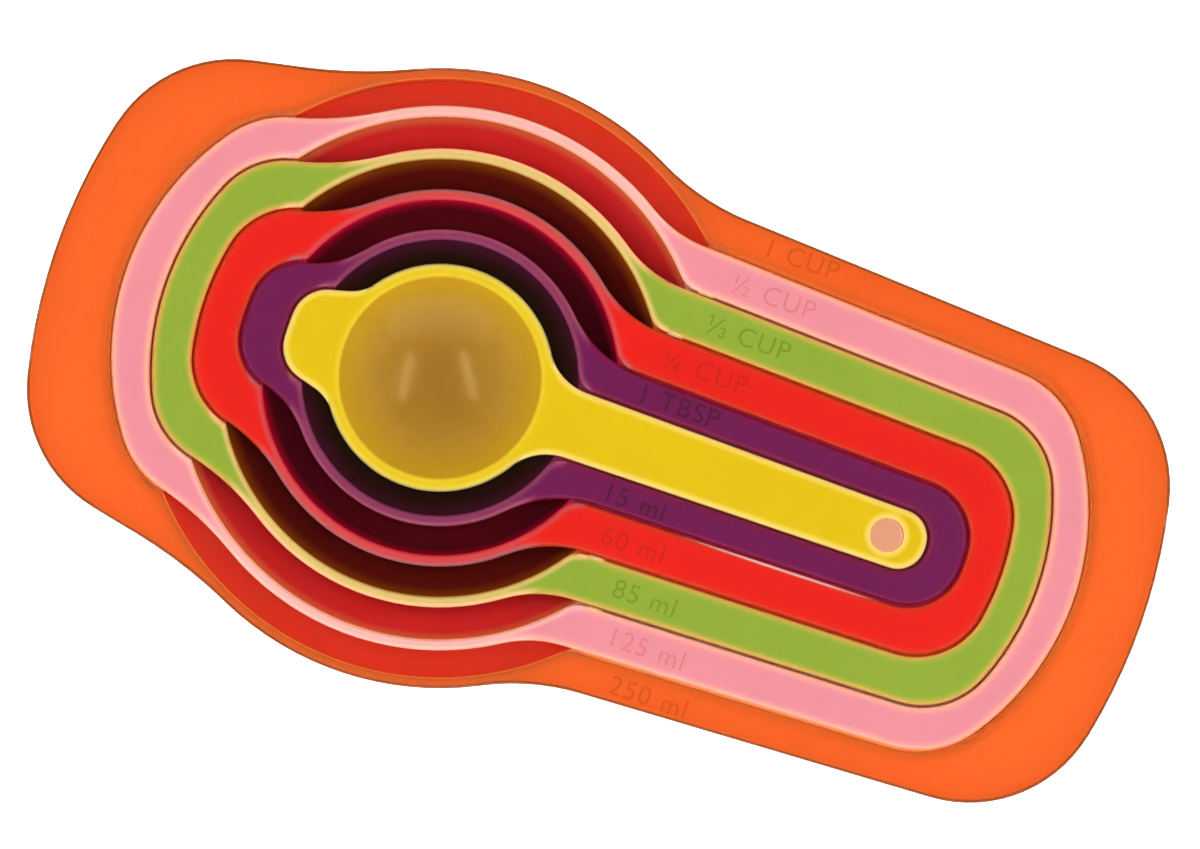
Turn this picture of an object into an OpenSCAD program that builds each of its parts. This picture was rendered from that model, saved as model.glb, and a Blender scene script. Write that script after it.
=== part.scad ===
// Nested set of six measuring cups. Each cup is one moulding: a round bowl, a wide tray-like handle and a
// short thumb tab. The next smaller cup drops into the tray. All the rims are level when the set is nested.
// +X runs along the handles, +Z is up, and the origin is under the middle of the largest bowl.

/* [Nesting] */
// Clearance all round between a cup and the tray that it sits in
gap = 0.5; // [0.4:0.05:0.8]
// Thickness of the teaspoon's flat handle
plate_t = 2.0; // [1.6:0.1:2.6]
// Thickness of the floor of each handle tray
floor_t = 1.6; // [1.2:0.1:2.2]
// Thickness of the flat border round each tray
lip_t = 1.6; // [1.2:0.1:1.9]
// Thickness of the skirts, tray walls and bowl walls
wall = 1.6; // [1.2:0.1:1.8]
// Thickness of the bowl bottoms
base_t = 1.6; // [1.2:0.1:2.2]
// Width of the rim round each bowl
rim_w = 2.1; // [1.9:0.1:2.6]
// Inside radius where a bowl's wall turns into its flat bottom
bowl_fillet = 6; // [3:0.5:8]
// Radius of the rounded edges on the rims and round the trays
edge_r = 0.75; // [0.4:0.05:0.75]

/* [Handles and tabs] */
// Distance from the bowl axis at which the widths of the handles are taken
root_x = 46; // [42:1:52]
// Taper of each side of the teaspoon's handle, in degrees
handle_taper = 0.7; // [0.4:0.1:1]
// Extra taper of each next larger handle, in degrees
taper_step = 0.44; // [0.2:0.02:0.5]
// Radius of the concave neck between the bowls and the handles of the four middle cups
neck_r = 23; // [16:1:30]
// Radius of the rounded corner between a bowl's mouth and the side of its handle tray
mouth_corner_r = 4.5; // [3:0.5:9]
// Radius of the slightly bowed ends of the five inner cups
end_crown_r = 52; // [45:1:80]
// Flare of the tab sides on the five inner cups, in degrees
tab_flare = 15; // [12:0.5:18]
// How much further each inner cup's handle reaches than that of the cup inside it
end_band = 7.5; // [6.5:0.1:9]
// How much further each inner cup's tab reaches than that of the cup inside it
tab_band = 8.2; // [6.5:0.1:9.5]
// Diameter of the hanging hole
hole_d = 6.5; // [4:0.1:7]
// Distance from the end of the teaspoon's handle to the middle of the hole
hole_inset = 7.7; // [6:0.1:12]

/* [Snap nubs] */
// Length of each nub along the tray wall
nub_l = 3; // [2:0.1:5]
// Distance from the rounded corner at the bowl's mouth to the nub
nub_from_corner = 0.8; // [0.3:0.1:4]
// Clearance left between a nub and the cup inside
nub_clear = 0.2; // [0.15:0.05:0.3]
// Depth of the nub's top below the rim
nub_drop = 0.3; // [0.1:0.1:0.8]

/* [Teaspoon, 5 ml] */
// Outer radius of the bowl
teaspoon_bowl_r = 21.7; // [20:0.1:24]
// Inside depth of the bowl
teaspoon_depth = 7.8; // [6:0.1:9]
// Half-width of the handle
teaspoon_half_w = 6.3; // [5.8:0.1:8]
// Reach of the handle from the bowl axis
teaspoon_reach = 98.2; // [90:0.1:110]
// Reach of the tab from the bowl axis
teaspoon_tab = 30.7; // [28:0.1:34]
// Half-width of the tab at its end
teaspoon_tab_w = 7.5; // [6:0.1:9]
// Radius of the outer corners
teaspoon_corner_r = 7; // [4:0.1:8]
// Radius of the neck between the bowl and the handle
teaspoon_neck_r = 11; // [8:0.5:15]
// Radius of the neck between the bowl and the tab
teaspoon_tab_neck_r = 9; // [6:0.5:12]

/* [Tablespoon, 15 ml] */
// Extra bowl radius over the teaspoon
tablespoon_bowl_band = 6.7; // [5.5:0.1:8]
// Extra handle half-width over the teaspoon
tablespoon_side_band = 6.5; // [5.5:0.1:8]
// Extra tab half-width over the teaspoon
tablespoon_tab_w_band = 2.8; // [2.4:0.1:5]
// Radius of the outer corners
tablespoon_corner_r = 10.5; // [8:0.1:12]
// Radius of the neck between the bowl and the tab
tablespoon_tab_neck_r = 18.5; // [12:0.5:24]
// Space between the bottom of the bowl and the teaspoon above it
tablespoon_under = 4.5; // [1:0.1:8]
// Radius at which the bowl's curve would meet its flat bottom
tablespoon_base_r = 8.1; // [7:0.1:12]

/* [Quarter cup, 60 ml] */
// Extra bowl radius over the tablespoon
quarter_bowl_band = 7.7; // [6:0.1:9]
// Extra handle half-width over the tablespoon
quarter_side_band = 9.1; // [7:0.1:11]
// Extra tab half-width over the tablespoon
quarter_tab_w_band = 8.0; // [6.5:0.1:9.5]
// Radius of the outer corners
quarter_corner_r = 14; // [10:0.1:17]
// Radius of the neck between the bowl and the tab
quarter_tab_neck_r = 33; // [24:0.5:42]
// Space between the bottom of the bowl and the tablespoon above it
quarter_under = 9.5; // [6:0.1:13]
// Radius at which the bowl's curve would meet its flat bottom
quarter_base_r = 22; // [18:0.1:24]

/* [Third cup, 85 ml] */
// Extra bowl radius over the quarter cup
third_bowl_band = 7.8; // [6.5:0.1:9]
// Extra handle half-width over the quarter cup
third_side_band = 9.4; // [7:0.1:11]
// Extra tab half-width over the quarter cup
third_tab_w_band = 7.5; // [6.5:0.1:9.5]
// Radius of the outer corners
third_corner_r = 15.5; // [12:0.1:19]
// Radius of the neck between the bowl and the tab
third_tab_neck_r = 48; // [36:1:60]
// Space between the bottom of the bowl and the quarter cup above it
third_under = 1.2; // [1:0.1:4]
// Radius at which the bowl's curve would meet its flat bottom
third_base_r = 22; // [20:0.1:27]

/* [Half cup, 125 ml] */
// Extra bowl radius over the third cup
half_bowl_band = 8.2; // [6.5:0.1:9.5]
// Extra handle half-width over the third cup
half_side_band = 8.9; // [7:0.1:11]
// Extra tab half-width over the third cup
half_tab_w_band = 6.4; // [5.5:0.1:9]
// Radius of the outer corners
half_corner_r = 18.5; // [14:0.1:22]
// Radius of the neck between the bowl and the tab
half_tab_neck_r = 60; // [45:1:75]
// Space between the bottom of the bowl and the third cup above it
half_under = 2.3; // [1:0.1:6]
// Radius at which the bowl's curve would meet its flat bottom
half_base_r = 22.2; // [20:0.1:30]

/* [One cup, 250 ml] */
// Extra bowl radius over the half cup
one_bowl_band = 7.3; // [6:0.1:9]
// Extra handle half-width over the half cup
one_side_band = 7.8; // [6.5:0.1:10]
// Extra reach of the handle over the half cup
one_end_band = 13.8; // [10:0.1:18]
// Extra reach of the tab over the half cup
one_tab_band = 14.2; // [10:0.1:18]
// Extra tab half-width over the half cup
one_tab_w_band = 8.4; // [7:0.1:10]
// Flare of the tab sides, in degrees
one_tab_flare = 11.7; // [9:0.1:13]
// Radius of the outer corners
one_corner_r = 26.5; // [20:0.1:30]
// Radius of the slightly bowed ends
one_crown_r = 110; // [90:1:150]
// Radius of the neck between the bowl and the handle
one_neck_r = 46; // [30:1:56]
// Radius of the neck between the bowl and the tab
one_tab_neck_r = 96; // [70:1:120]
// Space between the bottom of the bowl and the half cup above it
one_under = 7.4; // [4:0.1:12]
// Radius at which the bowl's curve would meet its flat bottom
one_base_r = 36; // [34:0.1:42]

/* [Hidden] */
$fn = 96;
// Sides of a bead, which is small
bead_fn = 24;
// Places of the cups in the lists below, from the smallest to the largest
TEASPOON = 0;
TABLESPOON = TEASPOON + 1;
QUARTER = TABLESPOON + 1;
THIRD = QUARTER + 1;
HALF = THIRD + 1;
ONE = HALF + 1;
// How far a cut runs past the face that it opens
past = 1;
// Overlap that keeps two tangent curves from only just touching
kiss = 0.003;
// How much thicker a full bead is than a thin one
bead_step = 0.015;
// Length by which one piece of an edge bead runs into the next
lap = 0.05;
// Depth to which a core outline stays inside the curve that finishes it
inset = 0.5;
// Ledge where the bowl's curve starts under the tray floor
ledge = 0.05;
// Smallest flat left in the middle of a rounded end
end_flat = 0.3;
// Share of the straight side that a tab or handle neck may use up
neck_limit = 0.95;
// Length of the inner cup's neck that may lie beside the straight part of a tray's side, where it takes up a
// tenth of a millimetre of the clearance
neck_overlap = 2;
// Half a turn, in degrees
half_turn = 180;

bowl_steps = [teaspoon_bowl_r, tablespoon_bowl_band, quarter_bowl_band, third_bowl_band, half_bowl_band,
    one_bowl_band];
side_steps = [teaspoon_half_w, tablespoon_side_band, quarter_side_band, third_side_band, half_side_band,
    one_side_band];
reach_steps = [teaspoon_reach, end_band, end_band, end_band, end_band, one_end_band];
tab_steps = [teaspoon_tab, tab_band, tab_band, tab_band, tab_band, one_tab_band];
tab_w_steps = [teaspoon_tab_w, tablespoon_tab_w_band, quarter_tab_w_band, third_tab_w_band, half_tab_w_band,
    one_tab_w_band];
corner_rs = [teaspoon_corner_r, tablespoon_corner_r, quarter_corner_r, third_corner_r, half_corner_r,
    one_corner_r];
crown_rs = [end_crown_r, end_crown_r, end_crown_r, end_crown_r, end_crown_r, one_crown_r];
neck_rs = [teaspoon_neck_r, neck_r, neck_r, neck_r, neck_r, one_neck_r];
tab_neck_rs = [teaspoon_tab_neck_r, tablespoon_tab_neck_r, quarter_tab_neck_r, third_tab_neck_r,
    half_tab_neck_r, one_tab_neck_r];
flares = [tab_flare, tab_flare, tab_flare, tab_flare, tab_flare, one_tab_flare];
under_gaps = [0, tablespoon_under, quarter_under, third_under, half_under, one_under];
base_rs = [0, tablespoon_base_r, quarter_base_r, third_base_r, half_base_r, one_base_r];

hole_x = teaspoon_reach - hole_inset;
nub_h = gap - nub_clear;

// Sum of the first steps of a list, up to and including place i
function total(steps, i) = i < 0 ? 0 : steps[i] + total(steps, i - 1);

function bowl_r(i) = total(bowl_steps, i);
function mouth_r(i) = bowl_r(i) - rim_w;
// Depth of the tray floor below the rim, and depth of the skirt, which rests on the next tray's floor
function tray_depth(i) = i == TEASPOON ? 0 : plate_t + (i - 1) * floor_t;
function skirt_depth(i) = plate_t + i * floor_t;
// Inside depth of the bowl below the rim
function bowl_depth(i) =
    i == TEASPOON ? teaspoon_depth : bowl_depth(i - 1) + base_t + under_gaps[i];

total_h = bowl_depth(ONE) + base_t;

// ---- Outline of a cup, seen from above ----
// Each end of a cup is worked out as the +X end: two straight sides that lean in by an angle, a bowed end, a
// corner between them and a concave neck to the bowl. A point is placed by its distance from the bowl axis
// square to the side (d) and along the side (s).
function place(d, s, lean) = [d * sin(lean) + s * cos(lean), d * cos(lean) - s * sin(lean)];
function flip(p) = [p.x, -p.y];

// Sizes of one end: [lean, side distance, crown radius, crown centre x, corner radius, corner place along the
// side, neck radius, neck place along the side, bowl radius]
function fit_end(r, half_w, at_x, lean, reach, crown, corner, neck) =
    let (
        d = (half_w + at_x * tan(lean)) * cos(lean),
        end_half_w = half_w - (reach - at_x) * tan(lean),
        rc = min(corner, end_half_w - end_flat),
        cx = reach - crown,
        s_corner = cx * cos(lean) + sqrt((crown - rc) ^ 2 - (d - rc - cx * sin(lean)) ^ 2),
        rn = min(neck, neck_limit * (s_corner ^ 2 - r ^ 2 + d ^ 2) / (2 * (r - d))),
        s_neck = sqrt((r + rn) ^ 2 - (d + rn) ^ 2)
    )
    [lean, d, crown, cx, rc, s_corner, rn, s_neck, r];

function handle_end(i) =
    fit_end(bowl_r(i), total(side_steps, i), root_x, handle_taper + i * taper_step, total(reach_steps, i),
        crown_rs[i], corner_rs[i], neck_rs[i]);
function tab_end(i) =
    fit_end(bowl_r(i), total(tab_w_steps, i), total(tab_steps, i), flares[i], total(tab_steps, i),
        crown_rs[i], corner_rs[i], tab_neck_rs[i]);

// Handle end of the tray in cup i. It is the handle end of the cup inside, but its sides run on to the mouth
// of the bowl, with a rounded corner there that also clears the neck of the cup inside.
function tray_end(i) =
    let (
        inner = handle_end(i - 1),
        d = inner[1] + gap,
        r = mouth_r(i),
        clear_r = ((inner[7] - neck_overlap) ^ 2 - r ^ 2 + d ^ 2) / (2 * (r - d))
    )
    fit_end(r - gap, total(side_steps, i - 1), root_x, inner[0], total(reach_steps, i - 1), inner[2],
        corner_rs[i - 1], max(mouth_corner_r, clear_r) + gap);

function corner_centre(e) = place(e[1] - e[4], e[5], e[0]);
function neck_centre(e) = place(e[1] + e[6], e[7], e[0]);

// Solid part of one end, grown by g all round
module end_area(e, g) {
    lean = e[0];
    side = e[1] + g;
    crown = e[2] + g;
    hub = [e[3], 0];
    corner = corner_centre(e);
    neck = neck_centre(e);
    ray = (corner - hub) / norm(corner - hub);
    on_bowl = neck * (e[8] + g) / norm(neck);
    on_side = place(side, e[7], lean);
    at_corner = place(side, e[5], lean);
    at_crown = hub + ray * (crown - inset);
    far = hub + ray * crown * 2;
    upper = [on_bowl, on_side, at_corner, at_crown];
    polygon([for (p = upper) p, for (k = [3:-1:0]) flip(upper[k])]);
    intersection() {
        translate(hub) circle(r = crown);
        polygon([hub, flip(far), far]);
    }
    for (c = [corner, flip(corner)])
        translate(c) circle(r = e[4] + g + kiss);
}

// The two concave necks of one end, as the discs that are cut away
module neck_area(e, g) {
    neck = neck_centre(e);
    for (c = [neck, flip(neck)])
        translate(c) circle(r = e[6] - g + kiss);
}

// Outline of cup i, grown by g all round
module outline(i, g = 0) {
    difference() {
        union() {
            circle(r = bowl_r(i) + g);
            end_area(handle_end(i), g);
            mirror([1, 0]) end_area(tab_end(i), g);
        }
        neck_area(handle_end(i), g);
        mirror([1, 0]) neck_area(tab_end(i), g);
    }
}

// ---- Rounded edges ----
// An edge is rounded by cutting away what lies outside a bead that runs along it, just under the rim. The
// pieces of a bead take turns at being full (ends, sides and bowl) and a hair thinner (corners and necks,
// which run into the full ones).
module arc_bead(centre, r, from, to, run, t) {
    extra = run / r * half_turn / PI;
    translate([centre.x, centre.y, -edge_r])
        rotate_extrude(angle = to - from + 2 * extra, start = from - extra)
            translate([r, 0]) circle(r = t, $fn = bead_fn);
}

module side_bead(from, to, t) {
    step = to - from;
    translate([from.x, from.y, -edge_r])
        rotate([0, 90, atan2(step.y, step.x)])
            cylinder(r = t, h = norm(step), $fn = bead_fn);
}

// Angle at which a neck meets the bowl
function bowl_angle(e) = let (neck = neck_centre(e)) atan2(neck.y, neck.x);

// Beads of one end, along its outline grown by g
module end_beads(e, g) {
    full = edge_r + kiss + bead_step;
    thin = edge_r + kiss;
    corner = corner_centre(e);
    neck = neck_centre(e);
    ray_angle = atan2(corner.y, corner.x - e[3]);
    side_angle = 90 - e[0];
    arc_bead([e[3], 0], e[2] + g, -ray_angle, ray_angle, 0, full);
    for (k = [0, 1])
        mirror([0, k, 0]) {
            arc_bead(corner, e[4] + g, ray_angle, side_angle, lap, thin);
            side_bead(place(e[1] + g, e[7], e[0]), place(e[1] + g, e[5], e[0]), full);
            arc_bead(neck, e[6] - g, bowl_angle(e) - half_turn, side_angle - half_turn, lap, thin);
        }
}

// Beads all along the outline of cup i, grown by g
module outline_beads(i, g) {
    end_beads(handle_end(i), g);
    mirror([1, 0, 0]) end_beads(tab_end(i), g);
    for (k = [0, 1])
        mirror([0, k, 0])
            arc_bead([0, 0], bowl_r(i) + g, bowl_angle(handle_end(i)), half_turn - bowl_angle(tab_end(i)), 0,
                edge_r + kiss + bead_step);
}

// ---- Bowls ----
// The wall is part of a sphere that meets the tray floor at the mouth and would meet the flat bottom at the
// base radius; a fillet rounds that corner.
function sphere_rise(i) =
    let (a = mouth_r(i) - ledge, b = base_rs[i], h = bowl_depth(i) - tray_depth(i))
    (a ^ 2 - b ^ 2 - h ^ 2) / (2 * h);
function sphere_r(i) = norm([mouth_r(i) - ledge, sphere_rise(i)]);

// Half section of bowl i, grown by t on its wall and by t_base at its bottom
module bowl_section(i, t, t_base) {
    centre_z = sphere_rise(i) - tray_depth(i);
    r = sphere_r(i) + t;
    bottom = -bowl_depth(i) - t_base;
    if (base_rs[i] == 0) {
        intersection() {
            translate([0, centre_z]) circle(r = r);
            translate([0, centre_z - r - past]) square([r, r + past - sphere_rise(i)]);
        }
    } else {
        fillet = bowl_fillet + t;
        fillet_z = bottom + fillet;
        fillet_x = sqrt((r - fillet) ^ 2 - (centre_z - fillet_z) ^ 2);
        ray = [fillet_x, fillet_z - centre_z] / (r - fillet);
        touch = [0, centre_z] + ray * r;
        intersection() {
            translate([0, centre_z]) circle(r = r);
            translate([0, touch.y]) square([r, -tray_depth(i) - touch.y]);
        }
        polygon([[0, bottom], [fillet_x, bottom], touch, [0, touch.y]]);
        intersection() {
            translate([fillet_x, fillet_z]) circle(r = fillet + kiss);
            translate([0, bottom]) square([r, touch.y - bottom + fillet]);
        }
    }
}

// ---- Whole cups ----
// Hollow under the flat border, between the outer skirt and the tray wall
module channel(i) {
    translate([0, 0, -skirt_depth(i) - past])
        linear_extrude(skirt_depth(i) + past - lip_t)
            difference() {
                outline(i, -wall);
                outline(i - 1, gap + wall);
                circle(r = mouth_r(i) + wall);
            }
}

// Mouth of the bowl with the handle end of the tray, and the tab end of the tray, grown by g all round
module mouth_area(i, g) {
    difference() {
        union() {
            circle(r = mouth_r(i) + g);
            end_area(tray_end(i), gap + g);
        }
        neck_area(tray_end(i), gap + g);
    }
}

module tab_tray_area(i, g) {
    mirror([1, 0])
        difference() {
            end_area(tab_end(i - 1), gap + g);
            neck_area(tab_end(i - 1), gap + g);
        }
}

// Tray in the handle and tab that the next smaller cup sits in
module tray(i) {
    difference() {
        translate([0, 0, -tray_depth(i)])
            linear_extrude(tray_depth(i) + past) {
                mouth_area(i, 0);
                tab_tray_area(i, 0);
            }
        if (i == THIRD || i == HALF)
            snap_nubs(i);
    }
}

// What is cut away above the rounded edges of the tray and of the bowl's mouth
module tray_edge(i) {
    angle = bowl_angle(tray_end(i));
    difference() {
        translate([0, 0, -edge_r])
            linear_extrude(edge_r + past)
                mouth_area(i, edge_r);
        end_beads(tray_end(i), gap + edge_r);
        arc_bead([0, 0], mouth_r(i) + edge_r, angle, 2 * half_turn - angle, 0, edge_r + kiss + bead_step);
    }
    difference() {
        translate([0, 0, -edge_r])
            linear_extrude(edge_r + past)
                tab_tray_area(i, edge_r);
        mirror([1, 0, 0]) end_beads(tab_end(i - 1), gap + edge_r);
    }
}

// What is cut away above the rounded mouth of the smallest cup, where the round runs into the sphere
module plain_mouth_edge(i) {
    room = 2 * edge_r;
    x = sqrt((sphere_r(i) + edge_r) ^ 2 - (sphere_rise(i) + edge_r) ^ 2);
    ray = [-x, sphere_rise(i) + edge_r] / (sphere_r(i) + edge_r);
    rotate_extrude()
        translate([x, -edge_r])
            difference() {
                polygon([[0, 0], [0, room], room * ray]);
                circle(r = edge_r + kiss, $fn = bead_fn);
            }
}

// Pair of small bars on the tray wall that hold the smaller cup
module snap_nubs(i) {
    e = tray_end(i);
    s = e[7] + nub_from_corner;
    for (side = [0, 1])
        mirror([0, side])
            translate(place(e[1] + gap, s, e[0]))
                rotate(-e[0])
                    translate([0, -nub_h, -tray_depth(i) - past])
                        cube([nub_l, nub_h + wall / 2, tray_depth(i) + past - nub_drop]);
}

// What is cut away above the rounded outer edge
module outer_edge(i) {
    difference() {
        translate([0, 0, -edge_r])
            linear_extrude(edge_r + past)
                difference() {
                    outline(i, past);
                    outline(i, -edge_r);
                }
        outline_beads(i, -edge_r);
    }
}

// Block of the rim and tray before the bowl and the tray are cut out of it
module rim_block(i) {
    difference() {
        translate([0, 0, -skirt_depth(i)])
            linear_extrude(skirt_depth(i))
                outline(i);
        if (i > TEASPOON)
            channel(i);
        outer_edge(i);
    }
}

module cup(i) {
    translate([0, 0, total_h])
        difference() {
            union() {
                rim_block(i);
                rotate_extrude() bowl_section(i, wall, base_t);
            }
            rotate_extrude() bowl_section(i, 0, 0);
            if (i == TEASPOON) {
                plain_mouth_edge(i);
            } else {
                tray(i);
                tray_edge(i);
            }
            translate([hole_x, 0, -skirt_depth(i) - past])
                cylinder(d = hole_d, h = skirt_depth(i) + 2 * past);
        }
}

module one_cup() {
    color("#F26928") cup(ONE);
}

module half_cup() {
    color("#F7A0AA") cup(HALF);
}

module third_cup() {
    color("#91B93C") cup(THIRD);
}

module quarter_cup() {
    color("#F02D2D") cup(QUARTER);
}

module tablespoon() {
    color("#6E195F") cup(TABLESPOON);
}

module teaspoon() {
    color("#F0CD1E") cup(TEASPOON);
}

one_cup();
half_cup();
third_cup();
quarter_cup();
tablespoon();
teaspoon();
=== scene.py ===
import math

import bpy
from mathutils import Euler, Matrix, Vector


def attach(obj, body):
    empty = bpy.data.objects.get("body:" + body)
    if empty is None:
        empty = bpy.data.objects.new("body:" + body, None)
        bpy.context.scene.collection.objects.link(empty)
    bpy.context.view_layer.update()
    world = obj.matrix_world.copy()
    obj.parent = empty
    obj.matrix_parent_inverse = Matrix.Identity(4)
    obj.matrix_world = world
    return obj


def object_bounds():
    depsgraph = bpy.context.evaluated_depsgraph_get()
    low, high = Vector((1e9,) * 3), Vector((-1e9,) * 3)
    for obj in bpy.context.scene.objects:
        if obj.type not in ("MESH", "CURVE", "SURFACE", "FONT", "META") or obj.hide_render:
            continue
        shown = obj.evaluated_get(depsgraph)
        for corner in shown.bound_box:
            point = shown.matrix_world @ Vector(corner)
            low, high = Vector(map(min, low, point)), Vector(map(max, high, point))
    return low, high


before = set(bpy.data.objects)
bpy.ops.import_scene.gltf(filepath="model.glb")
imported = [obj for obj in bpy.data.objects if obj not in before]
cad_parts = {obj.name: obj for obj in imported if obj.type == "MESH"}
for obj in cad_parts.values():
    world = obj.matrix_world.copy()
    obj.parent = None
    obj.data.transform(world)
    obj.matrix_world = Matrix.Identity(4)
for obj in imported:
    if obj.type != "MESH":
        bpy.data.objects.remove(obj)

cad_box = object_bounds()


# ---- Camera ----
# The set lies on a table, all its rims level. It is seen from straight above, from far off through a long
# lens, with the handles pointing to the right and down across the frame.
mm = 0.001
rim_z = cad_box[1].z
handle_slant = math.radians(19.4)
lean_back = math.radians(1.5)
view_distance = 1.2
frame_width = 229.2 * mm
look_at = Vector((31.8 * mm, 1.7 * mm, rim_z))


def in_scene(name, data):
    """A new object that shows this data, linked to the scene."""
    thing = bpy.data.objects.new(name, data)
    bpy.context.scene.collection.objects.link(thing)
    return thing


camera_data = bpy.data.cameras.new("camera")
camera_data.sensor_width = 36
camera_data.lens = camera_data.sensor_width * view_distance / frame_width
camera_data.clip_start = 0.1
camera_data.clip_end = 10
camera = in_scene("camera", camera_data)
turn = Euler((lean_back, 0, handle_slant), "XYZ")
camera.rotation_euler = turn
camera.location = look_at + turn.to_matrix() @ Vector((0, 0, view_distance))
bpy.context.scene.camera = camera


# ---- One-cup measure, orange ----
# The largest cup, injection-moulded in orange polypropylene with a satin tray and a polished bowl. The other
# five nest in it. The top of its outer side has a painted shade. Its volume stands on both borders of the
# handle, in raised figures that are moulded with it.
def linear(hex_colour):
    """A colour written as sRGB hex, in the linear values that the shaders work in."""
    parts = [int(hex_colour[i:i + 2], 16) / 255 for i in (1, 3, 5)]
    return tuple(c / 12.92 if c <= 0.04045 else ((c + 0.055) / 1.055) ** 2.4 for c in parts) + (1,)


def shaded_down(hex_colour, share):
    """The linear colour with a share of its light."""
    return tuple(share * c for c in linear(hex_colour)[:3]) + (1,)


def new_material(name):
    """An empty material, with the node tree that it is to be built in."""
    material = bpy.data.materials.new(name)
    material.use_nodes = True
    material.node_tree.nodes.clear()
    return material, material.node_tree


def add(tree, kind, inputs=None, **options):
    """Adds a node and sets its options. An input takes a value, another node's output, or another node, which
    stands for its first output in use. Inputs go by name, or by place where several share one name.
    """
    node = tree.nodes.new(kind)
    for name, value in options.items():
        setattr(node, name, value)
    for key, value in (inputs or {}).items():
        if isinstance(key, str):
            socket = next(one for one in node.inputs if one.enabled and one.name == key)
        else:
            socket = node.inputs[key]
        if isinstance(value, bpy.types.Node):
            value = next(one for one in value.outputs if one.enabled)
        if isinstance(value, bpy.types.NodeSocket):
            tree.links.new(value, socket)
        else:
            socket.default_value = value
    return node


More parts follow.
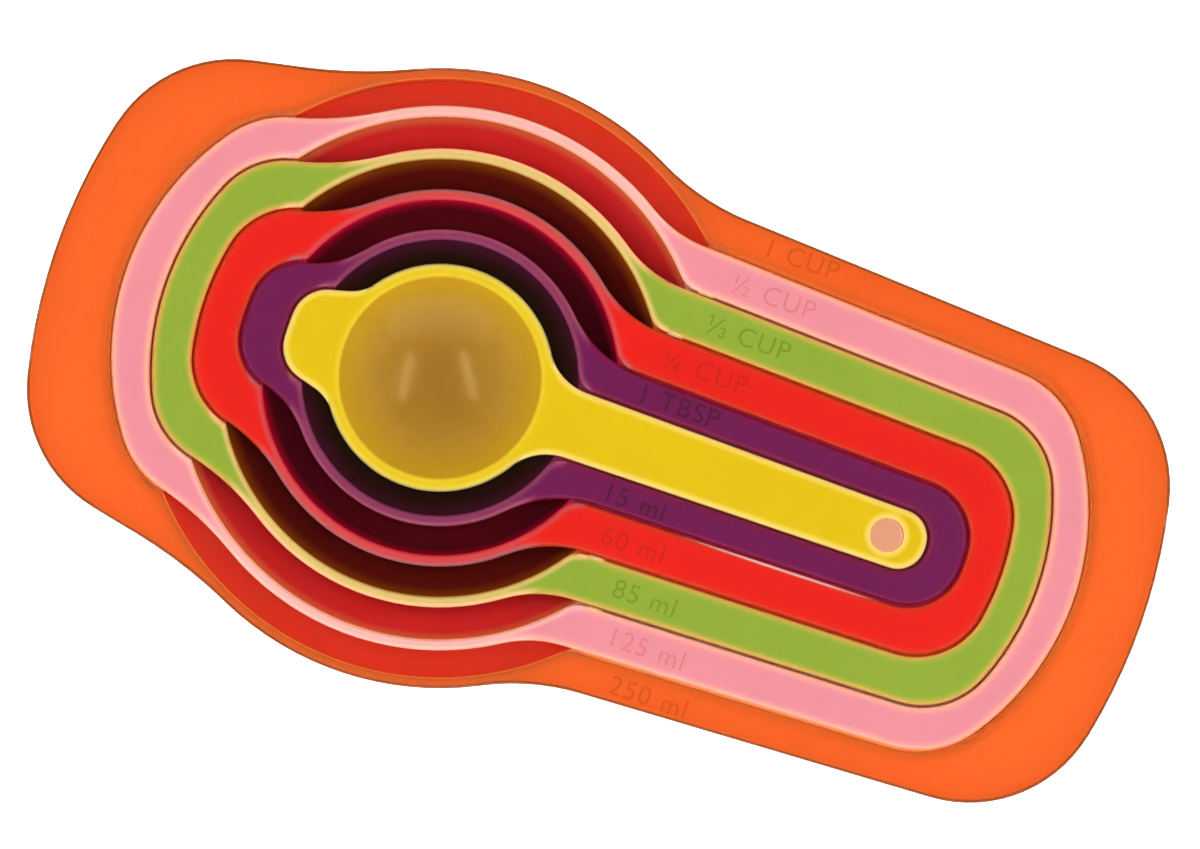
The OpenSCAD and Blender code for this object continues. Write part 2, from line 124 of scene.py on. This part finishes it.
def polypropylene(name, mouth_radius, pigment, rim, border, lip, wall, gap, rim_softness=1, empty_shade=0,
                  contour_shade=None, painted_highlight=None):
    """Injection-moulded polypropylene, slightly translucent: satin to the eye where the mould was
    spark-eroded, glossier in the polished bowl.

    The border of the tray and the narrow rim round the bowl have soft bands of their own tints: painted
    highlight where light catches their rounding, and on the orange cup painted shade. The wall of a nested
    bowl has painted light and shade, for light through the coloured plastic round it and the shade of the
    nest; it turns from the lip's tint to the deeper tint of the wall. The gap's tint is painted light for the
    narrow gaps between two trays.
    """
    material, tree = new_material(name)
    coords = add(tree, "ShaderNodeTexCoord").outputs
    point = coords["Object"]
    normal = coords["Normal"]
    place = add(tree, "ShaderNodeSeparateXYZ", {"Vector": point}).outputs
    facing = add(tree, "ShaderNodeSeparateXYZ", {"Vector": normal}).outputs
    flat = add(tree, "ShaderNodeCombineXYZ", {"X": place["X"], "Y": place["Y"]})
    radius = add(tree, "ShaderNodeVectorMath", {0: flat}, operation="LENGTH")

    # Soft bands of painted highlight inside the edges, near the top, which the orange cup's darker tints make
    # a painted shade. On the narrow rim they are as strong as rim_softness says
    band_width = 1.5 * mm
    rim_outside = mouth_radius + 2.7 * mm
    rim_blend = 0.5 * mm
    near_top = add(tree, "ShaderNodeMapRange",
                   {"Value": place["Z"], "From Min": rim_z - 3.2 * mm, "From Max": rim_z - 2.4 * mm})
    into_edge = add(tree, "ShaderNodeAmbientOcclusion", {"Distance": band_width},
                    inside=True, only_local=True, samples=4).outputs["AO"]
    band = add(tree, "ShaderNodeMapRange", {"Value": into_edge, "From Min": 0.97, "From Max": 0.6})
    on_rim = add(tree, "ShaderNodeMapRange",
                 {"Value": radius, "From Min": rim_outside + rim_blend, "From Max": rim_outside - rim_blend})
    softness = add(tree, "ShaderNodeMapRange", {"Value": on_rim, "To Min": 1, "To Max": rim_softness})
    soft = add(tree, "ShaderNodeMath", {0: band, 1: softness}, operation="MULTIPLY")

    # The rounded edges outside the mouth have the full tint, a painted highlight
    turned = add(tree, "ShaderNodeMapRange", {"Value": facing["Z"], "From Min": 0.999, "From Max": 0.88})
    past_mouth = add(tree, "ShaderNodeMapRange",
                     {"Value": radius, "From Min": mouth_radius + 0.9 * mm,
                      "From Max": mouth_radius + 1.3 * mm})
    crisp = add(tree, "ShaderNodeMath", {0: turned, 1: past_mouth}, operation="MULTIPLY")
    strongest = add(tree, "ShaderNodeMath", {0: soft, 1: crisp}, operation="MAXIMUM")
    painted_edge_light = add(tree, "ShaderNodeMath", {0: near_top, 1: strongest}, operation="MULTIPLY")
    painted_edge_colour = add(tree, "ShaderNodeMix", {"Factor": on_rim, "A": linear(border), "B": linear(rim)},
                      data_type="RGBA")

    # The inside of the bowl: within its mouth, facing up or in, from just below the rim. Its painted light
    # and shade darkens from the lip's tint to the wall's tint lower down
    within = add(tree, "ShaderNodeMath", {0: radius, 1: mouth_radius + 0.2 * mm}, operation="LESS_THAN")
    facing_in = add(tree, "ShaderNodeMath", {0: facing["Z"], 1: -0.05}, operation="GREATER_THAN")
    inside = add(tree, "ShaderNodeMath", {0: within, 1: facing_in}, operation="MULTIPLY")
    below = add(tree, "ShaderNodeMapRange",
                {"Value": place["Z"], "From Min": rim_z - 0.02 * mm, "From Max": rim_z - 0.35 * mm})
    bowl = add(tree, "ShaderNodeMath", {0: inside, 1: below}, operation="MULTIPLY")
    deep = add(tree, "ShaderNodeMapRange",
               {"Value": place["Z"], "From Min": rim_z - 1.5 * mm, "From Max": rim_z - 9 * mm})
    painted_wall_colour = add(tree, "ShaderNodeMix", {"Factor": deep, "A": linear(lip), "B": linear(wall)},
                      data_type="RGBA")

    # A wall with the next cup close by gets the painted light and shade of the nest, and an empty bowl as
    # much of it as empty_shade says
    reach_of_next_cup = 16 * mm
    open_room = add(tree, "ShaderNodeAmbientOcclusion", {"Distance": reach_of_next_cup},
                    samples=4).outputs["AO"]
    nested = add(tree, "ShaderNodeMapRange",
                 {"Value": open_room, "From Min": 0.92, "From Max": 0.72, "To Min": empty_shade})
    shaded = add(tree, "ShaderNodeMath", {0: bowl, 1: nested}, operation="MULTIPLY")
    # Painted light: down in the 0.5 mm gaps between two trays the colour is made brighter, for light that
    # reaches them from both sides
    painted_gap_light = add(tree, "ShaderNodeMapRange", {"Value": open_room, "From Min": 0.5, "From Max": 0.3})

    # Pigment swirls of about 20 mm, spread out by the flow of the melt
    swirl_width = 20 * mm
    swirl = add(tree, "ShaderNodeTexNoise",
                {"Vector": point, "Scale": 1 / swirl_width, "Detail": 3, "Distortion": 0.8})
    body = add(tree, "ShaderNodeMix", {"Factor": swirl, "A": linear(pigment), "B": shaded_down(pigment, 0.9)},
               data_type="RGBA")
    with_edges = add(tree, "ShaderNodeMix", {"Factor": painted_edge_light, "A": body, "B": painted_edge_colour},
                     data_type="RGBA")
    with_gaps = add(tree, "ShaderNodeMix", {"Factor": painted_gap_light, "A": with_edges, "B": linear(gap)},
                    data_type="RGBA")
    colour = add(tree, "ShaderNodeMix", {"Factor": shaded, "A": with_gaps, "B": painted_wall_colour},
                 data_type="RGBA")

    # A painted shade darkens the top 1 mm of the side that faces away from the middle of the set
    if contour_shade:
        middle_x = 32 * mm
        from_middle = add(tree, "ShaderNodeVectorMath", {0: flat, 1: (middle_x, 0, 0)}, operation="SUBTRACT")
        outward = add(tree, "ShaderNodeVectorMath", {0: from_middle, 1: normal}, operation="DOT_PRODUCT")
        facing_out = add(tree, "ShaderNodeMapRange",
                         {"Value": outward, "From Min": 2 * mm, "From Max": 14 * mm})
        at_top = add(tree, "ShaderNodeMapRange",
                     {"Value": place["Z"], "From Min": rim_z - 1.1 * mm, "From Max": rim_z - 0.6 * mm})
        painted_contour_shade = add(tree, "ShaderNodeMath", {0: facing_out, 1: at_top}, operation="MULTIPLY")
        colour = add(tree, "ShaderNodeMix", {"Factor": painted_contour_shade, "A": colour, "B": linear(contour_shade)},
                     data_type="RGBA")

    # Painted highlight round one spot, or round the same spot on both sides of the handle, or only on the
    # rounded part there
    if painted_highlight:
        if painted_highlight["both_sides"]:
            side = add(tree, "ShaderNodeMath", {0: place["Y"]}, operation="ABSOLUTE")
            there = add(tree, "ShaderNodeCombineXYZ", {"X": place["X"], "Y": side, "Z": place["Z"]})
        else:
            there = point
        from_spot = add(tree, "ShaderNodeVectorMath", {0: there, 1: painted_highlight["spot"]}, operation="SUBTRACT")
        scaled = add(tree, "ShaderNodeVectorMath", {0: from_spot, 1: painted_highlight["half_size"]}, operation="DIVIDE")
        how_far = add(tree, "ShaderNodeVectorMath", {0: scaled}, operation="LENGTH")
        in_spot = add(tree, "ShaderNodeMapRange", {"Value": how_far, "From Min": 1.2, "From Max": 0.7})
        if painted_highlight["edge_only"]:
            in_spot = add(tree, "ShaderNodeMath", {0: in_spot, 1: turned}, operation="MULTIPLY")
        colour = add(tree, "ShaderNodeMix", {"Factor": in_spot, "A": colour, "B": linear(painted_highlight["tint"])},
                     data_type="RGBA")

    # Spark-eroded grain is about 0.1 mm; here it is 0.5 mm, so that it shows
    grain_width = 0.5 * mm
    grain_depth = 0.02 * mm
    grain = add(tree, "ShaderNodeTexNoise", {"Vector": point, "Scale": 1 / grain_width, "Detail": 2})
    relief = add(tree, "ShaderNodeBump", {"Height": grain, "Strength": 0.25, "Distance": grain_depth})

    # Scuffs along the handle, from stacking and washing, make the satin uneven. Edges and bowl are polished
    scuff_length = 15 * mm
    scuff_width = 0.5 * mm
    scuff_space = add(tree, "ShaderNodeMapping",
                      {"Vector": point, "Scale": (1 / scuff_length, 1 / scuff_width, 1 / scuff_width)})
    scuffs = add(tree, "ShaderNodeTexNoise", {"Vector": scuff_space, "Scale": 1, "Detail": 4})
    satin = add(tree, "ShaderNodeMapRange",
                {"Value": scuffs, "From Min": 0.35, "From Max": 0.7, "To Min": 0.42, "To Max": 0.52})
    smooth = add(tree, "ShaderNodeMath", {0: painted_edge_light, 1: bowl}, operation="MAXIMUM")
    roughness = add(tree, "ShaderNodeMix", {"Factor": smooth, "A": satin, "B": 0.2})

    shader = add(tree, "ShaderNodeBsdfPrincipled",
                 {"Base Color": colour, "Roughness": roughness, "Normal": relief, "IOR": 1.49,
                  "Specular IOR Level": 0.2, "Subsurface Weight": 1, "Subsurface Radius": (1, 1, 1),
                  "Subsurface Scale": 5 * mm})
    add(tree, "ShaderNodeOutputMaterial", {"Surface": shader})
    return material


def dress(cup, material):
    """Gives a cup its material, and shades it smoothly across its rounded edges."""
    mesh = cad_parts[cup].data
    mesh.materials.clear()
    mesh.materials.append(material)
    for polygon in mesh.polygons:
        polygon.use_smooth = True


mark_height = 3.6 * mm
# Half of this thickness, and the bevel, stand proud of the handle
mark_thickness = 0.2 * mm
mark_bevel = 0.05 * mm
# The strokes are drawn in on each side, to make up for the bevel
stroke_trim = 0.06 * mm
letter_spacing = 1.1
# Height of a capital letter as a share of the typeface's nominal size
capital_share = 0.69


def shaded_figure_plastic(name, tint):
    """The tops of the raised figures: the same polypropylene, moulded by the etched floor of the mould's
    lettering, which makes it matt. Their tint is a painted shade, a little deeper than the cup, for the
    shading of their relief. Grain of 0.1 mm is drawn at 0.4 mm, so that it shows.
    """
    material, tree = new_material(name)
    grain_width = 0.4 * mm
    point = add(tree, "ShaderNodeTexCoord").outputs["Object"]
    grain = add(tree, "ShaderNodeTexNoise", {"Vector": point, "Scale": 1 / grain_width, "Detail": 2})
    colour = add(tree, "ShaderNodeMix", {"Factor": grain, "A": linear(tint), "B": shaded_down(tint, 0.85)},
                 data_type="RGBA")
    shader = add(tree, "ShaderNodeBsdfPrincipled",
                 {"Base Color": colour, "IOR": 1.49, "Specular IOR Level": 0.2, "Roughness": 0.6})
    add(tree, "ShaderNodeOutputMaterial", {"Surface": shader})
    return material


def volume_mark(name, words, start_x, middle_y, cup, material):
    """Raised figures on the border of a cup's handle, read with the handle pointing to the right."""
    text = bpy.data.curves.new(name, "FONT")
    text.body = words
    text.size = mark_height / capital_share
    text.extrude = mark_thickness / 2
    text.space_character = letter_spacing
    text.bevel_depth = mark_bevel
    text.offset = -stroke_trim
    outline = in_scene(name + "_outline", text)
    bpy.context.view_layer.update()
    solid = outline.evaluated_get(bpy.context.evaluated_depsgraph_get())
    mesh = bpy.data.meshes.new_from_object(solid)
    mesh.transform(Matrix.Translation((start_x, middle_y - mark_height / 2, rim_z)))
    bpy.data.objects.remove(outline)
    mark = in_scene(name, mesh)
    mark.data.materials.clear()
    mark.data.materials.append(material)
    # The figures are one body with the cup, so they mustn't darken the translucent plastic below them
    mark.visible_shadow = False
    mark.visible_diffuse = False
    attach(mark, cup)


def volume_marks(cup, slot, tint, cup_words, metric_words, start_x, from_axis):
    """A cup's volume in cups or spoons on one border of its handle, and in millilitres on the other."""
    figures = shaded_figure_plastic(slot + "_shaded_figure_polypropylene", tint)
    volume_mark(cup + "_mark_cups", cup_words, start_x, from_axis, cup, figures)
    volume_mark(cup + "_mark_ml", metric_words, start_x, -from_axis, cup, figures)


orange = polypropylene("orange_polypropylene", mouth_radius=57.3 * mm, pigment="#BE5317", rim="#9A4E28",
                       border="#B0561C", lip="#EE8038", wall="#CE4834", gap="#FFA868", contour_shade="#7A3812")
dress("one_cup", orange)
volume_marks("one_cup", "orange", "#B2450D", "1 CUP", "250 ml", start_x=50 * mm, from_axis=44.3 * mm)


# ---- Half-cup measure, pink ----
# The second cup, in pink polypropylene from the same kind of mould. It drops into the tray of the orange cup.
# Two nubs on the walls of its tray hold the green cup, which snaps past them. Their tops have a pale painted
# highlight.
nub_half_size = (1.7 * mm, 0.7 * mm, 1.2 * mm)
nub_z = rim_z - 0.7 * mm
nub_highlight_tint = "#E8CC98"
pink_nub_highlight = {"spot": (42.6 * mm, 31.7 * mm, nub_z), "half_size": nub_half_size, "tint": nub_highlight_tint,
             "both_sides": True, "edge_only": False}
pink = polypropylene("pink_polypropylene", mouth_radius=50.0 * mm, pigment="#D1879C", rim="#E3B9B0",
                     border="#E0A494", lip="#F0B070", wall="#C72F34", gap="#FFDCC0", painted_highlight=pink_nub_highlight)
dress("half_cup", pink)
volume_marks("half_cup", "pink", "#C36E7D", "½ CUP", "125 ml", start_x=46.5 * mm, from_axis=35.7 * mm)


# ---- Third-cup measure, green ----
# The third cup, in leaf-green polypropylene, drops into the tray of the pink cup. Two nubs on the walls of
# its own tray hold the red cup in the same way, and have the same pale painted highlight.
green_nub_highlight = {"spot": (39.7 * mm, 22.4 * mm, nub_z), "half_size": nub_half_size, "tint": nub_highlight_tint,
              "both_sides": True, "edge_only": False}
green = polypropylene("green_polypropylene", mouth_radius=41.8 * mm, pigment="#829F36", rim="#F0B68F",
                      border="#B89A50", lip="#9E5703", wall="#5E1714", gap="#FF7C26", painted_highlight=green_nub_highlight)
dress("third_cup", green)
volume_marks("third_cup", "green", "#658522", "⅓ CUP", "85 ml", start_x=44.5 * mm, from_axis=26.7 * mm)


# ---- Quarter-cup measure, red ----
# The fourth cup, in red polypropylene. Along one side of its tray the rounded top of the wall has a painted
# highlight, a pale line beside the purple cup.
red_edge_highlight = {"spot": (75 * mm, -13.5 * mm, rim_z - 0.4 * mm), "half_size": (19 * mm, 1.6 * mm, 0.45 * mm),
            "tint": "#FFB4BC", "both_sides": False, "edge_only": True}
red = polypropylene("red_polypropylene", mouth_radius=34.0 * mm, pigment="#CD0F11", rim="#985861",
                    border="#B23018", lip="#E81048", wall="#651526", gap="#FF2658", painted_highlight=red_edge_highlight)
dress("quarter_cup", red)
volume_marks("quarter_cup", "red", "#AE1212", "¼ CUP", "60 ml", start_x=39 * mm, from_axis=17.9 * mm)


# ---- Tablespoon measure, purple ----
# The fifth cup, in purple polypropylene with so much pigment that little light comes through its walls. The
# inside of its nested bowl is painted a shade close to black. It drops into the tray of the red cup.
purple = polypropylene("purple_polypropylene", mouth_radius=26.3 * mm, pigment="#630351", rim="#8B4562",
                       border="#6A1040", lip="#280A18", wall="#030303", gap="#7A1040")
dress("tablespoon", purple)
volume_marks("tablespoon", "purple", "#40022F", "1 TBSP", "15 ml", start_x=36.5 * mm, from_axis=10.0 * mm)


# ---- Teaspoon measure, yellow ----
# The smallest cup, in yellow polypropylene: a shallow polished dish on a flat handle, with no tray and no
# mark. No cup ever lies in it; its dish has a painted shade, darker lower down, in every pose.
yellow = polypropylene("yellow_polypropylene", mouth_radius=19.6 * mm, pigment="#C7B003", rim="#FFE890",
                       border="#F6CC74", lip="#B2901E", wall="#835F27", gap="#F6CC74", rim_softness=0.35,
                       empty_shade=1)
dress("teaspoon", yellow)


# ---- Studio floor ----
# A matt white table top of backlit paper, as in a plain product studio. The lamps below it stop short of the
# hanging hole, and there the paper is painted pale yellow-green, a painted shade for light tinted by the
# plastic round it.
floor_reach = 2.5
corners = [(-floor_reach, -floor_reach, 0), (floor_reach, -floor_reach, 0),
           (floor_reach, floor_reach, 0), (-floor_reach, floor_reach, 0)]
floor_mesh = bpy.data.meshes.new("floor")
floor_mesh.from_pydata(corners, [], [(0, 1, 2, 3)])
floor = in_scene("floor", floor_mesh)

# The hanging hole's distance from the axis of the bowls
hole_x = 90.5 * mm
dim_radius = 5.5 * mm
lit_radius = 10 * mm
dim_glow = 0.12
full_glow = 1.5
fibre_cloud = 3 * mm
paper, paper_tree = new_material("matt_white_paper")
on_paper = add(paper_tree, "ShaderNodeTexCoord").outputs["Object"]
fibres = add(paper_tree, "ShaderNodeTexNoise", {"Vector": on_paper, "Scale": 1 / fibre_cloud, "Detail": 3})
white = add(paper_tree, "ShaderNodeMix", {"Factor": fibres, "A": linear("#FCFBFA"), "B": linear("#F8F7F6")},
            data_type="RGBA")
from_hole = add(paper_tree, "ShaderNodeVectorMath", {0: on_paper, 1: (hole_x, 0, 0)}, operation="DISTANCE")
lamp_glow = add(paper_tree, "ShaderNodeMapRange",
                {"Value": from_hole, "From Min": dim_radius, "From Max": lit_radius, "To Min": dim_glow,
                 "To Max": full_glow})
# Painted shade: round the hole the paper turns pale yellow-green
paper_painted_shade = add(paper_tree, "ShaderNodeMix", {"Factor": lamp_glow, "A": linear("#C4D292"), "B": white},
           data_type="RGBA", clamp_factor=True)
paper_shader = add(paper_tree, "ShaderNodeBsdfPrincipled",
                   {"Base Color": paper_painted_shade, "Roughness": 0.9, "Specular IOR Level": 0.2,
                    "Emission Color": linear("#FFFFFF"), "Emission Strength": lamp_glow})
add(paper_tree, "ShaderNodeOutputMaterial", {"Surface": paper_shader})
floor_mesh.materials.append(paper)


# ---- Lights ----
# A pale room, soft panels at the sides, a panel overhead that lights the gaps between the trays, and two warm
# strips beside the camera, rolled a little, which show as two streaks in the polished dish of the teaspoon.
room = bpy.data.worlds.new("room")
room.use_nodes = True
room_light = room.node_tree.nodes["Background"].inputs
room_light["Color"].default_value = linear("#FFFDFA")
room_light["Strength"].default_value = 0.2
bpy.context.scene.world = room


def panel(name, azimuth, elevation, distance, width, height, radiance):
    """A soft panel facing the set. Azimuth is as the camera sees it, from the right side round to the top."""
    light = bpy.data.lights.new(name, "AREA")
    light.shape = "RECTANGLE"
    light.size = width
    light.size_y = height
    light.energy = radiance * math.pi * width * height
    lamp = in_scene(name, light)
    a = math.radians(azimuth) + handle_slant
    e = math.radians(elevation)
    away = Vector((math.cos(a) * math.cos(e), math.sin(a) * math.cos(e), math.sin(e)))
    lamp.location = look_at + away * distance
    lamp.rotation_euler = away.to_track_quat("Z", "Y").to_euler()
    return lamp


for side, azimuth, roll in (("right", 0, -14), ("left", 180, 14)):
    strip = panel("strip_" + side, azimuth, elevation=66, distance=1.3, width=0.8, height=0.14, radiance=16.0)
    strip.data.color = linear("#FFE2A0")[:3]
    strip.rotation_euler.rotate_axis("Z", math.radians(roll))
panel("panel_front", 270, elevation=42, distance=1.6, width=2.4, height=0.9, radiance=1.7)
panel("panel_back", 90, elevation=36, distance=1.6, width=2.4, height=0.8, radiance=0.4)
panel("panel_right", 0, elevation=36, distance=1.6, width=2.0, height=0.8, radiance=0.6)
panel("panel_left", 180, elevation=36, distance=1.6, width=2.0, height=0.8, radiance=0.6)
overhead = panel("overhead", 0, elevation=90, distance=1.8, width=0.6, height=0.6, radiance=16.0)
overhead.visible_glossy = False

bpy.context.scene.cycles.diffuse_bounces = 8
bpy.context.scene.view_settings.view_transform = "Standard"
bpy.context.scene.view_settings.look = "None"
